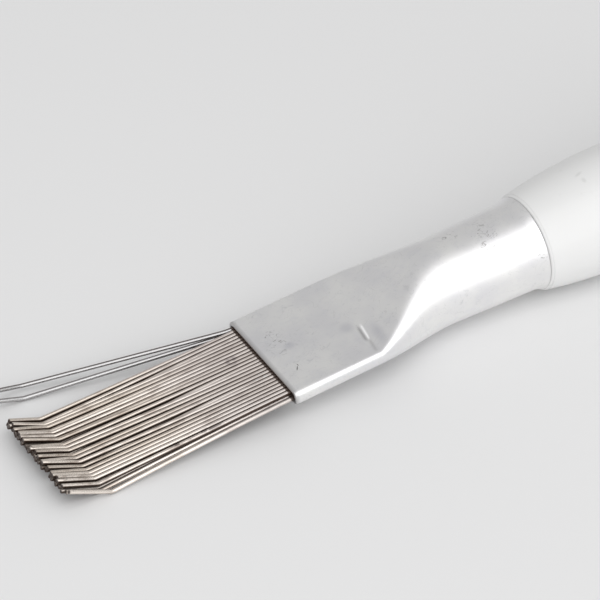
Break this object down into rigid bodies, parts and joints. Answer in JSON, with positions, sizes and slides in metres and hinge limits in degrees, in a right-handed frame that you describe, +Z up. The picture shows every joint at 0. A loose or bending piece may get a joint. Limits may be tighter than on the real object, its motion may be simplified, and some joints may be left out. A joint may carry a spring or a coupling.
{
  "type": "air conditioner fin comb",
  "caption": "Fin-straightening comb: two rows of hooked steel wires gripped in a flattened aluminium ferrule, on a round white plastic handle.",
  "frame": {"origin": "on the table, under the middle of the whole comb's bounding box", "axes": "+X along the comb to the handle's butt, +Y to the side with the two sprung wires, +Z up from the table"},
  "size_m": [0.22, 0.041, 0.0325],
  "materials": {
    "wire": "bright drawn wire, warm grey, darkened in the grooves",
    "ferrule": "satin, with faint scratches and spots",
    "handle": "white, smooth, slightly soiled"
  },
  "bodies": {
    "root": {"ferrule": "ferrule", "handle": "handle", "wire_top_01": "wire", "wire_top_02": "wire", "wire_top_03": "wire", "wire_top_04": "wire", "wire_top_05": "wire", "wire_top_06": "wire", "wire_top_07": "wire", "wire_top_08": "wire", "wire_top_09": "wire", "wire_top_10": "wire", "wire_top_11": "wire", "wire_top_12": "wire", "wire_top_13": "wire", "wire_top_14": "wire", "wire_top_15": "wire", "wire_top_16": "wire", "wire_top_17": "wire", "wire_top_18": "wire", "wire_top_19": "wire", "wire_top_20": "wire", "wire_top_21": "wire", "wire_top_22": "wire", "wire_top_23": "wire", "wire_top_24": "wire", "wire_top_25": "wire", "wire_bottom_01": "wire", "wire_bottom_02": "wire", "wire_bottom_03": "wire", "wire_bottom_04": "wire", "wire_bottom_05": "wire", "wire_bottom_06": "wire", "wire_bottom_07": "wire", "wire_bottom_08": "wire", "wire_bottom_09": "wire", "wire_bottom_10": "wire", "wire_bottom_11": "wire", "wire_bottom_12": "wire", "wire_bottom_13": "wire", "wire_bottom_14": "wire", "wire_bottom_15": "wire", "wire_bottom_16": "wire", "wire_bottom_17": "wire", "wire_bottom_18": "wire", "wire_bottom_19": "wire", "wire_bottom_20": "wire", "wire_bottom_21": "wire", "wire_bottom_22": "wire", "wire_bottom_23": "wire", "wire_bottom_24": "wire", "wire_bottom_25": "wire", "wire_bottom_26": "wire"}
  },
  "joints": []
}
